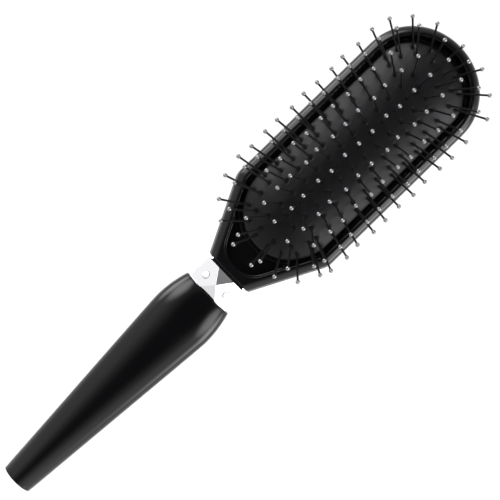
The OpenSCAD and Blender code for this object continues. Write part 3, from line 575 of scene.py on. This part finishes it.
# %% Back moulding
back_roll, mirror_rim, mirror_low, pocket_z = 3.6, 6.0, 6.0, 2.3
hinge_y, hinge_z, knuckle_room, slot_half, slot_reach = -6.475, 2.2, 2.3, 9.22, 4
pocket_ease = ease * 2
back = [level(mirror_rim, pocket_z, inner_corner, mirror_low)]
back += [level(mirror_rim - pocket_ease * (1 - c), pocket_ease * (1 - s), inner_corner,
    mirror_low - pocket_ease * (1 - c)) for s, c in quarter(ease_steps)]
back += [level(back_roll * (1 - s), back_roll * (1 - c)) for s, c in quarter(roll_steps)]
back += [level(ease * (1 - c), part_z - ease * (1 - s)) for s, c in quarter(ease_steps)]
slot_side = [(hinge_y - slot_reach, -overshoot), (hinge_y + knuckle_room, -overshoot)]
slot_side += arc((hinge_y, hinge_z), knuckle_room, 0, math.pi / 2, corner_steps)
slot_side += [(hinge_y - slot_reach, hinge_z + knuckle_room)]
slot_rings = [[(x, y, z) for y, z in slot_side] for x in (-slot_half, slot_half)]
dressed("head_back", cut_away(mesh_of("back", loft(back)), [loft(slot_rings, across=False)]),
    "head", "black_plastic", stands_for=["back_cover"])

# %% Mirror
glass_gap, glass_low_z, glass_high_z, glass_ease = 0.25, 0.2, 2.0, 0.1
bevel_width, bevel_rise, bevel_end = 0.7, 0.28, (0.06, 0.08)
glass = [level(mirror_rim + glass_gap + b, z, inner_corner, mirror_low + glass_gap + b)
    for b, z in ((bevel_width, glass_low_z), (bevel_end[0], glass_low_z + bevel_rise),
    (0, glass_low_z + bevel_rise + bevel_end[1]), (0, glass_high_z - glass_ease),
    (glass_ease, glass_high_z))]
piece("mirror_plate", loft(glass), "head", "mirror", sharp=12, stands_for=["mirror_glass"])

# %% [markdown]
# ## Where the pins stand
# The pins of a cushion brush fan out: upright in the middle and leaning more towards the
# edges. The solids already hold each pin's place and lean, so they are read back instead of
# being worked out twice. Each pin is an island of the solid's mesh. Its long axis is the
# direction in which its points spread most, which a few rounds of power iteration find.

# %% Read the pins from their solids
pin_reach, axis_rounds = 17.0, 12


def islands(mesh):
    """Groups of points that are joined by edges, in mm."""
    work = bmesh.new()
    work.from_mesh(mesh)
    bmesh.ops.remove_doubles(work, verts=work.verts, dist=weld_pins)
    seen, groups = set(), []
    for start in work.verts:
        group, ways = [], [start]
        while ways:
            vert = ways.pop()
            if vert not in seen:
                seen.add(vert)
                group.append(vert.co / MM)
                ways += [edge.other_vert(vert) for edge in vert.link_edges]
        if group:
            groups.append(group)
    work.free()
    return groups


def long_axis(points):
    """The middle of a cloud of points, and the way in which it spreads most."""
    middle = sum(points, Vector()) / len(points)
    way = Vector((0, 0, 1))
    for _ in range(axis_rounds):
        way = sum(((p - middle) * (p - middle).dot(way) for p in points), Vector()).normalized()
    return middle, way


pins = []
for points in islands(frame["nodes"]["pin_shafts"].data):
    middle, way = long_axis(points)
    tip = middle + way * max((p - middle).dot(way) for p in points)
    pins.append((tip - way * pin_reach, way))
pins.sort(key=lambda pin: (round(pin[0].y, 3), pin[0].x))
print(len(pins), "pins, leaning up to",
    round(max(math.degrees(math.acos(way.z)) for _, way in pins)), "degrees")

# %% [markdown]
# ## The cushion
# The rubber bulges up over the air inside it and is clamped round its edge. Where each pin
# passes through, the sheet is drawn down into a small dimple with a raised lip round it,
# and those dimples catch the light all over the cushion. They are too small for a coarse
# mesh and too important for a bump alone, so the dome is a fine stack of outlines that
# shrink towards the middle line, and every point near a pin is moved.

# %% Cushion outline and dome
pad_half, pad_low_len, pad_far_len, pad_side_gap = 19.4, 20.0, 16.8, 0.97
pad_edge_z, pad_rise, pad_fullness, flange = 14.8, 4.3, 2.4, 0.8
pad_reach = math.hypot(pad_half * math.cos(taper_turn), pad_low_len * math.sin(taper_turn))
pad_low_y = head_low_y + (pad_reach + pad_side_gap + rim
    - head_low_half * math.cos(taper_turn)) / math.sin(taper_turn)


def oval(wide, low_len, far_len, steps=44, run=110):
    """Two half ellipses on the pad's two centres, joined by straight sides."""
    half = [(wide * math.cos(a), pad_low_y + low_len * math.sin(a))
        for a in (math.pi / 2 * ((k + 0.5) / steps - 1) for k in range(steps))]
    half += [(wide, pad_low_y + (head_centre_y - pad_low_y) * k / run) for k in range(run)]
    half += [(wide * math.cos(a), head_centre_y + far_len * math.sin(a))
        for a in (math.pi / 2 * k / steps for k in range(steps))]
    return whole(half, head_centre_y + far_len)


def pad_oval(grow, **steps):
    """The pad's outline, grown outwards."""
    return oval(pad_half + grow, pad_low_len + grow, pad_far_len + grow, **steps)


def dome_z(wide):
    return pad_edge_z + pad_rise * (1 - min(1, wide / pad_half) ** pad_fullness)


def dome_ring(wide, z):
    """The pad's outline, shrunk towards its middle line until it is this wide."""
    share = wide / pad_half
    return [(x, y, z) for x, y in oval(wide, pad_low_len * share, pad_far_len * share)]


corner, foot_grow, bend_steps, dome_steps = 0.9, 0.15, 6, 46
shoulder_in, shoulder_z = pad_half - corner, dome_z(pad_half - corner)
bend = [((1 - t) ** 2 * pad_half + 2 * t * (1 - t) * pad_half + t * t * shoulder_in,
    (1 - t) ** 2 * (pad_edge_z - corner) + 2 * t * (1 - t) * pad_edge_z + t * t * shoulder_z)
    for t in (k / bend_steps for k in range(bend_steps + 1))]
dome = [(shoulder_in * (1 - k / dome_steps), dome_z(shoulder_in * (1 - k / dome_steps)))
    for k in range(1, dome_steps)]
rings = [[(x, y, recess_z) for x, y in pad_oval(flange)],
    [(x, y, recess_z + flange) for x, y in pad_oval(flange)],
    [(x, y, recess_z + flange) for x, y in pad_oval(foot_grow)]]
rings += [dome_ring(wide, z) for wide, z in bend + dome]
print("cushion rings:", len(rings), "of", len(rings[0]), "points")

# %% Draw the rubber down at each pin
dimple_depth, dimple_r, lip_height, lip_at, lip_r = 0.45, 0.75, 0.1, 1.35, 0.5
dimple_reach = 2
roots = KDTree(len(pins))
for number, (root, _) in enumerate(pins):
    roots.insert(root, number)
roots.balance()
pad_points, pad_faces = loft(rings)
moved = 0
for number, point in enumerate(pad_points):
    if point[2] > pad_edge_z:
        _, _, away = roots.find(Vector(point))
        drop = dimple_depth * math.exp(-(away / dimple_r) ** 2)
        rise = lip_height * math.exp(-((away - lip_at) / lip_r) ** 2)
        pad_points[number] = (point[0], point[1], point[2] - drop + rise)
        moved += away < dimple_reach
cushion = piece("rubber_cushion", (pad_points, pad_faces), "head", "rubber", sharp=60,
    stands_for=["cushion_pad"])
print("points moved by the dimples:", moved)

# %% Bezel that clamps the cushion
bezel_width, bezel_min, bezel_gap, bezel_top = 1.3, 0.12, 0.1, 13.3
bezel_ease, bezel_nip, ring_density = 0.25, 0.07, {"steps": 24, "run": 30}
recess_edge = [Vector(p) for p in head_outline(rim + bezel_gap, recess_corner, rim_low)]


def room_to_edge(point):
    """Distance from a point to the recess's wall."""
    here, rooms = Vector(point), []
    for a, b in zip(recess_edge, recess_edge[1:] + recess_edge[:1]):
        share = max(0.0, min(1.0, (here - a).dot(b - a) / (b - a).length_squared))
        rooms.append((here - (a + (b - a) * share)).length)
    return min(rooms)


inner = pad_oval(bezel_gap, **ring_density)
outer = pad_oval(bezel_width, **ring_density)
widths = [min(1.0, max(bezel_min, room_to_edge(p)) / (bezel_width - bezel_gap)) for p in inner]


def bezel_ring(share, z):
    """A ring between the bezel's two edges, narrowed where the recess leaves less room."""
    return [(a[0] + (b[0] - a[0]) * share * w, a[1] + (b[1] - a[1]) * share * w, z)
        for a, b, w in zip(inner, outer, widths)]


hoop = [bezel_ring(share, z) for share, z in (
    (0.0, recess_z), (1.0, recess_z), (1.0, bezel_top - bezel_ease),
    (0.93, bezel_top - bezel_nip), (0.8, bezel_top), (0.2, bezel_top),
    (0.07, bezel_top - bezel_nip), (0.0, bezel_top - bezel_ease))]
piece("cushion_bezel", ([p for ring in hoop for p in ring], skin(hoop, closed=True)), "head",
    "black_plastic", stands_for=["pad_bezel"])

# %% [markdown]
# ## Pins, balls and screws by Geometry Nodes
# What repeats is made once and placed many times. A cloud of points carries an `aim`
# direction at each point; the tree puts one shape on every point, turns its Z axis to the
# aim, and ends by making the copies real and giving them their finish. The sizes are
# inputs of the tree, so the pins' length or a screw's head is one number. The same small
# builder serves the wire, the balls and the screws.

# %% A builder for trees that place a shape on points
class Tree:
    """A geometry tree with named inputs; nodes are added as in a finish."""

    def __init__(self, name, **sizes):
        self.tree = bpy.data.node_groups.new(name, "GeometryNodeTree")
        face = self.tree.interface
        face.new_socket("Geometry", in_out="INPUT", socket_type="NodeSocketGeometry")
        self.sockets = {key: face.new_socket(key, in_out="INPUT", socket_type="NodeSocketFloat")
            for key in sizes}
        self.sizes = sizes
        self.sockets["Finish"] = face.new_socket("Finish", in_out="INPUT",
            socket_type="NodeSocketMaterial")
        face.new_socket("Geometry", in_out="OUTPUT", socket_type="NodeSocketGeometry")
        self.inputs = self.tree.nodes.new("NodeGroupInput").outputs

    def node(self, kind, settings=None, **named):
        node = self.tree.nodes.new(kind)
        for key, value in (settings or {}).items():
            setattr(node, key, value)
        for key, value in named.items():
            found = [s for s in node.inputs if s.name == key.replace("_", " ") and s.enabled]
            for each in value if isinstance(value, list) else [value]:
                plug(self.tree.links, found[0], each)
        return node.outputs[0]

    def sum(self, operation, *terms):
        node = self.tree.nodes.new("ShaderNodeMath")
        node.operation = operation
        for socket, term in zip(node.inputs, terms):
            plug(self.tree.links, socket, term)
        return node.outputs[0]

    def raised(self, shape, height):
        """A shape moved up its Z axis."""
        shift = self.node("ShaderNodeCombineXYZ", Z=height)
        return self.node("GeometryNodeTransform", Geometry=shape, Translation=shift)

    def ends_in(self, shape):
        """Ends the tree with a shape on every point, turned to the point's aim."""
        aim = self.node("GeometryNodeInputNamedAttribute", {"data_type": "FLOAT_VECTOR"},
            Name="aim")
        turn = self.node("FunctionNodeAlignRotationToVector", {"axis": "Z"}, Vector=aim)
        placed = self.node("GeometryNodeInstanceOnPoints", Points=self.inputs["Geometry"],
            Instance=shape, Rotation=turn)
        real = self.node("GeometryNodeRealizeInstances", Geometry=placed)
        coated = self.node("GeometryNodeSetMaterial", Geometry=real, Material=self.inputs["Finish"])
        out = self.tree.nodes.new("NodeGroupOutput")
        self.tree.links.new(coated, out.inputs[0])

    def placed_on(self, name, places, body, slot, stands_for, finish=None, **changed):
        """Runs the tree on places, each a point in mm and an aim, and dresses the result."""
        mesh = mesh_of(name, ([point for point, _ in places], []))
        aims = mesh.attributes.new("aim", "FLOAT_VECTOR", "POINT")
        aims.data.foreach_set("vector", [v for _, way in places for v in way])
        source = put("source", mesh)
        run = source.modifiers.new("place", "NODES")
        run.node_group = self.tree
        for key, size in {**self.sizes, **changed}.items():
            run[self.sockets[key].identifier] = size * MM
        run[self.sockets["Finish"].identifier] = finishes[finish or slot]
        return dressed(name, baked(source), body, slot, sharp=40, stands_for=stands_for,
            finish=finish)


print("tree builder ready")

# %% Pin wires
wire = Tree("wires_on_points", Length=pin_reach, Depth=1.6, Radius=0.4)
rod = wire.node("GeometryNodeMeshCylinder", Vertices=12, Radius=wire.inputs["Radius"],
    Depth=wire.sum("ADD", wire.inputs["Length"], wire.inputs["Depth"]))
wire.ends_in(wire.raised(rod, wire.sum("MULTIPLY",
    wire.sum("SUBTRACT", wire.inputs["Length"], wire.inputs["Depth"]), 0.5)))
wire.placed_on("pin_wires", pins, "head", "pin_lacquer", ["pin_shafts"])

# %% Ball tips
ball = Tree("balls_on_points", Height=pin_reach, Radius=0.85)
bead = ball.node("GeometryNodeMeshUVSphere", Segments=12, Rings=8, Radius=ball.inputs["Radius"])
ball.ends_in(ball.raised(bead, ball.inputs["Height"]))
ball.placed_on("pin_balls", pins, "head", "chrome", ["ball_tips"], finish="ball_plate")

# %% [markdown]
# ## The screws that show
# Three screws hold the hinge plate, two the neck's back plate and two the handle. They are
# countersunk with a cross recess. The tree makes a cone for the head and a rod for the
# shank, and cuts two crossed slots out of the head before the screws are placed.

# %% Cross-head screws
screw = Tree("screws_on_points", Head=1.2, Shank=0.7, Length=5.0, Slot=0.3)
rise = screw.sum("SUBTRACT", screw.inputs["Head"], screw.inputs["Shank"])
cone = screw.node("GeometryNodeMeshCone", Vertices=32, Depth=rise,
    Radius_Top=screw.inputs["Shank"], Radius_Bottom=screw.inputs["Head"])
shank = screw.node("GeometryNodeMeshCylinder", Vertices=24, Radius=screw.inputs["Shank"],
    Depth=screw.inputs["Length"])
long_side = screw.sum("MULTIPLY", screw.inputs["Head"], 1.15)
tall = screw.sum("MULTIPLY", screw.inputs["Head"], 0.7)
slots = [screw.node("GeometryNodeMeshCube",
    Size=screw.node("ShaderNodeCombineXYZ", X=a, Y=b, Z=tall))
    for a, b in ((long_side, screw.inputs["Slot"]), (screw.inputs["Slot"], long_side))]
blank = screw.node("GeometryNodeJoinGeometry", Geometry=[
    cone, screw.raised(shank, screw.sum("MULTIPLY", screw.inputs["Length"], 0.5))])
screw.ends_in(screw.node("GeometryNodeMeshBoolean", {"operation": "DIFFERENCE"}, Mesh_1=blank,
    Mesh_2=slots))

# %% Places of the screws
up, ahead, sunk = Vector((0, 0, 1)), Vector((0, 1, 0)), 0.05
plate_y, plate_screw_z, plate_screw_x = -6.35, 8.5, 7.1
neck_z, mouth_y, neck_screw_x, neck_screw_ahead, grip_screws = 4.8, -16.9, 6.85, 4.25, (4.0, 10.0)
screw.placed_on("plate_screws", [(Vector((s * plate_screw_x, plate_y + sunk, plate_screw_z)),
    ahead) for s in (-1, 0, 1)], "head", "steel", ["hinge_plate_screws"], Head=1.6, Shank=0.9,
    Length=8.0, Slot=0.4)
screw.placed_on("neck_plate_screws", [(Vector((s * neck_screw_x, mouth_y + neck_screw_ahead,
    neck_z + sunk)), up) for s in (-1, 1)], "handle", "steel", ["back_plate_screws"], Head=1.1)
screw.placed_on("handle_screws", [(Vector((0, mouth_y - d, neck_z + 2 * sunk)), up)
    for d in grip_screws], "handle", "steel", ["spigot_screws"], Head=2.15, Shank=1.2,
    Length=7.0, Slot=0.55)

# %% [markdown]
# ## The metal parts of the neck
# The neck is a casting: four facets meet at a point, and it carries the hinge knuckles and
# the release buttons. Its solid already has every face in the right place, but with edges
# sharper than any casting. The simplest way to a real edge is to copy the solid's mesh, weld
# its loose triangles into clean faces and bevel the sharp edges. The bevel is narrow, and
# it only takes edges that turn by more than a small angle, so the bores stay round.

# %% Ease the edges of a solid's copy
flat_turn, bevel_turn, bevel_rows = 0.8, 24, 2


def eased(name, node, width, body, slot):
    """A copy of a CAD node with welded faces and narrow bevels, standing for the node."""
    mesh = frame["nodes"][node].data.copy()
    if "custom_normal" in mesh.attributes:
        mesh.attributes.remove(mesh.attributes["custom_normal"])
    work = bmesh.new()
    work.from_mesh(mesh)
    bmesh.ops.remove_doubles(work, verts=work.verts, dist=weld_cast)
    bmesh.ops.dissolve_limit(work, angle_limit=math.radians(flat_turn), verts=work.verts,
        edges=work.edges)
    work.to_mesh(mesh)
    work.free()
    mesh.shade_smooth()
    source = put("source", mesh)
    bevel = source.modifiers.new("edge", "BEVEL")
    bevel.width, bevel.segments = width * MM, bevel_rows
    bevel.limit_method, bevel.angle_limit = "ANGLE", math.radians(bevel_turn)
    return dressed(name, baked(source), body, slot, sharp=60, stands_for=[node], outward=False)


eased("neck_casting", "neck_block", 0.16, "handle", "chrome")
eased("hinge_leaf", "head_hinge_plate", 0.1, "head", "chrome")
eased("neck_cover", "neck_back_plate", 0.1, "handle", "chrome")

# %% [markdown]
# ## Turned parts
# The release buttons and the disc in the handle's end are turned or moulded round. Each is
# a profile of radius and height that runs round an axis, closed at the middle with a fan of
# faces. The buttons stand square on the neck's sloping side facets and have a
# slightly crowned face with an eased edge.

# %% Lathe
def lathe(profile, place, sides=56):
    """Rings round Z from a profile of (radius, height) in mm, then moved by a matrix."""
    turned = [[place @ Vector((r * math.cos(a), r * math.sin(a), z))
        for a in (2 * math.pi * k / sides for k in range(sides))] for r, z in profile]
    return loft([[tuple(p) for p in ring] for ring in turned], across=False)


def crowned(radius, top, rise, roll, steps=5):
    """The end of a round part: an eased corner and a slight crown."""
    edge = [(radius - roll * (1 - c), top - rise - roll * (1 - s)) for s, c in quarter(steps)]
    return edge + [((radius - roll) * (1 - k / steps), top - rise * (1 - k / steps) ** 2)
        for k in range(1, steps)]


# %% Release buttons
facet_slope, button_x, apex_y, button_z = math.radians(31), 5.5, mouth_y + 4.75, 16.095
button_r, button_up, wall, collar, collar_t, foot_r = 1.5, 0.4, 1.8, 0.55, 0.7, 0.9
button_crown, button_ease, clip_z, clip_gap = 0.12, 0.22, 11.8, 0.1
foot_z = clip_z + clip_gap + foot_r * math.sin(facet_slope)
button_depth = (button_z - foot_z) / math.cos(facet_slope)
stem = [(foot_r, -button_depth), (foot_r, -wall - collar_t), (button_r + collar, -wall - collar_t),
    (button_r + collar, -wall), (button_r, -wall)]
for side, name in ((-1, "left"), (1, "right")):
    place = Matrix.Translation((side * button_x, apex_y, button_z)) @ Matrix.Rotation(
        side * facet_slope, 4, "Y")
    face = crowned(button_r, button_up, button_crown, button_ease)
    piece(f"push_button_{name}", lathe(stem + face, place), f"{name}_button", "button_metal",
        stands_for=[f"release_button_{name}"])

# %% [markdown]
# ## The handle
# The handle swells just behind its mouth and then tapers straight to a round end. Its back
# lies in one plane, so it rests flat when it is folded over the mirror. In section it goes
# from a squarish oval at the mouth to a circle at the end: a superellipse, whose power
# falls from 2.6 to 2 along the way. The same rule makes a ring at every distance, and the
# rings are close enough for the long highlights to run clean.

# %% Handle rings
handle_len, cap_t, belly_at, belly_bend, belly_fullness = 102.3, 1.4, 14.2, 1.5, 2.2
wide_half, mouth_half, end_half, squareness = (13.2, 7.4), (11.05, 6.4), 6.5, 0.6


def half_size(d, way):
    """Half the handle's width (way 0) or thickness (way 1) at a distance from its mouth."""
    if d < belly_at:
        return wide_half[way] - (wide_half[way] - mouth_half[way]) * (
            1 - d / belly_at) ** belly_fullness
    run, length = d - belly_at, handle_len - belly_at
    share = run * run / (run + belly_bend) * (length + belly_bend) / length ** 2
    return wide_half[way] - (wide_half[way] - end_half) * share


def handle_ring(d, inset, sides=120):
    """A superellipse at a distance from the mouth, moved inwards by an inset."""
    power = 2 / (2 + squareness * (1 - d / handle_len))
    wide, thick = half_size(d, 0), half_size(d, 1)
    ring = []
    for k in range(sides):
        c, s = math.cos(2 * math.pi * k / sides), math.sin(2 * math.pi * k / sides)
        x = math.copysign(abs(c) ** power, c) * (wide - inset)
        ring.append((x, mouth_y - d + scallop(x) * max(0, 1 - d / scallop_run),
            neck_z + thick + math.copysign(abs(s) ** power, s) * (thick - inset)))
    return ring


scallop_run, corner_reach, ridge_dip, ridge_x, ridge_width = 4, 0.35, 0.22, 4.4, 1.7


def scallop(x):
    """The mouth's edge: forward at its two corners, back beside the neck's ridges."""
    return corner_reach * (abs(x) / mouth_half[0]) ** 3 - ridge_dip * math.exp(
        -((abs(x) - ridge_x) / ridge_width) ** 2)


lip_r, shell_len, end_ease = 0.45, handle_len - cap_t, 0.1
belly_rows, taper_rows, crowding = 22, 48, 1.25
handle = [handle_ring(lip_r * (1 - c), lip_r * (1 - s)) for s, c in quarter(fillet_steps)]
handle += [handle_ring(lip_r + (belly_at - lip_r) * k / belly_rows, 0)
    for k in range(1, belly_rows + 1)]
handle += [handle_ring(belly_at + (shell_len - end_ease - belly_at)
    * (k / taper_rows) ** crowding, 0) for k in range(1, taper_rows + 1)]
handle += [handle_ring(shell_len - end_ease * (1 - s), end_ease * (1 - c))
    for s, c in quarter(ease_steps)]
print("handle rings:", len(handle), "of", len(handle[0]))

# %% Screw sinks and the handle's mesh
sink_r, bore_r, bore_deep = 2.25, 1.25, 2.2
sink = [(sink_r, -overshoot), (sink_r, sunk), (bore_r, sunk + sink_r - bore_r),
    (bore_r, bore_deep)]
sinks = [lathe(sink, Matrix.Translation((0, mouth_y - d, neck_z))) for d in grip_screws]
dressed("handle_grip", cut_away(mesh_of("grip", loft(handle, across=False)), sinks), "handle",
    "black_plastic", stands_for=["handle_shell"], finish="grip_plastic")

# %% End disc
end_y, plug_r, plug_len, disc_roll, disc_nip = mouth_y - handle_len, 4.2, 6.0, 0.15, 0.04
disc = [(plug_r, -cap_t - plug_len), (plug_r, -cap_t), (end_half - end_ease, -cap_t),
    (end_half - disc_nip, -cap_t + disc_nip), (end_half, -cap_t + end_ease)]
disc += crowned(end_half, 0.0, 0.0, disc_roll)
place = Matrix.Translation((0, end_y, neck_z + end_half)) @ Matrix.Rotation(math.pi / 2, 4, "X")
piece("handle_disc", lathe(disc, place), "handle", "black_plastic",
    stands_for=["handle_end_cap"], finish="grip_plastic")

# %% [markdown]
# ## Solids that stay as they are
# The hinge pin, its washers, the latch clip, the tape and the screws inside the head and
# the neck are simple parts whose solids need nothing but a finish. Assigning it to their
# material slots is all there is to do; their meshes are never touched.

# %% Finishes for the solids that stay
for subpart in frame["record"]["subparts"]:
    solid = frame["nodes"][subpart["node"]]
    if not solid.hide_render:
        solid.data.materials.clear()
        solid.data.materials.append(finishes[subpart["material_slot"]])
        print(subpart["node"], "keeps its shape, in", subpart["material_slot"])

# %% [markdown]
# ## The floor
# The floor is plain and pale, and lies far below the brush, so that the folded handle never
# meets it and the mirror can be looked at from below. It glows a little, as a lit paper
# sweep does. Its grey is chosen so that it comes out just white: plated faces that mirror it
# are then a shade darker than the background, and their edges can be seen.

# %% Floor
floor_half, floor_z, floor_grey, floor_glow = 8, -1.1, 0.72, 0.12
floor_mesh = bpy.data.meshes.new("floor")
floor_mesh.from_pydata([(x * floor_half, y * floor_half, floor_z)
    for x, y in ((-1, -1), (1, -1), (1, 1), (-1, 1))], [], [(0, 1, 2, 3)])
paper = Finish("paper_sweep", Roughness=0.9, Emission_Strength=floor_glow)
floor_mesh.materials.append(paper.paint(Base_Color=(floor_grey, floor_grey, floor_grey, 1),
    Emission_Color=(1, 1, 1, 1)))
floor = put("floor", floor_mesh)
print("floor at", floor_z, "m")
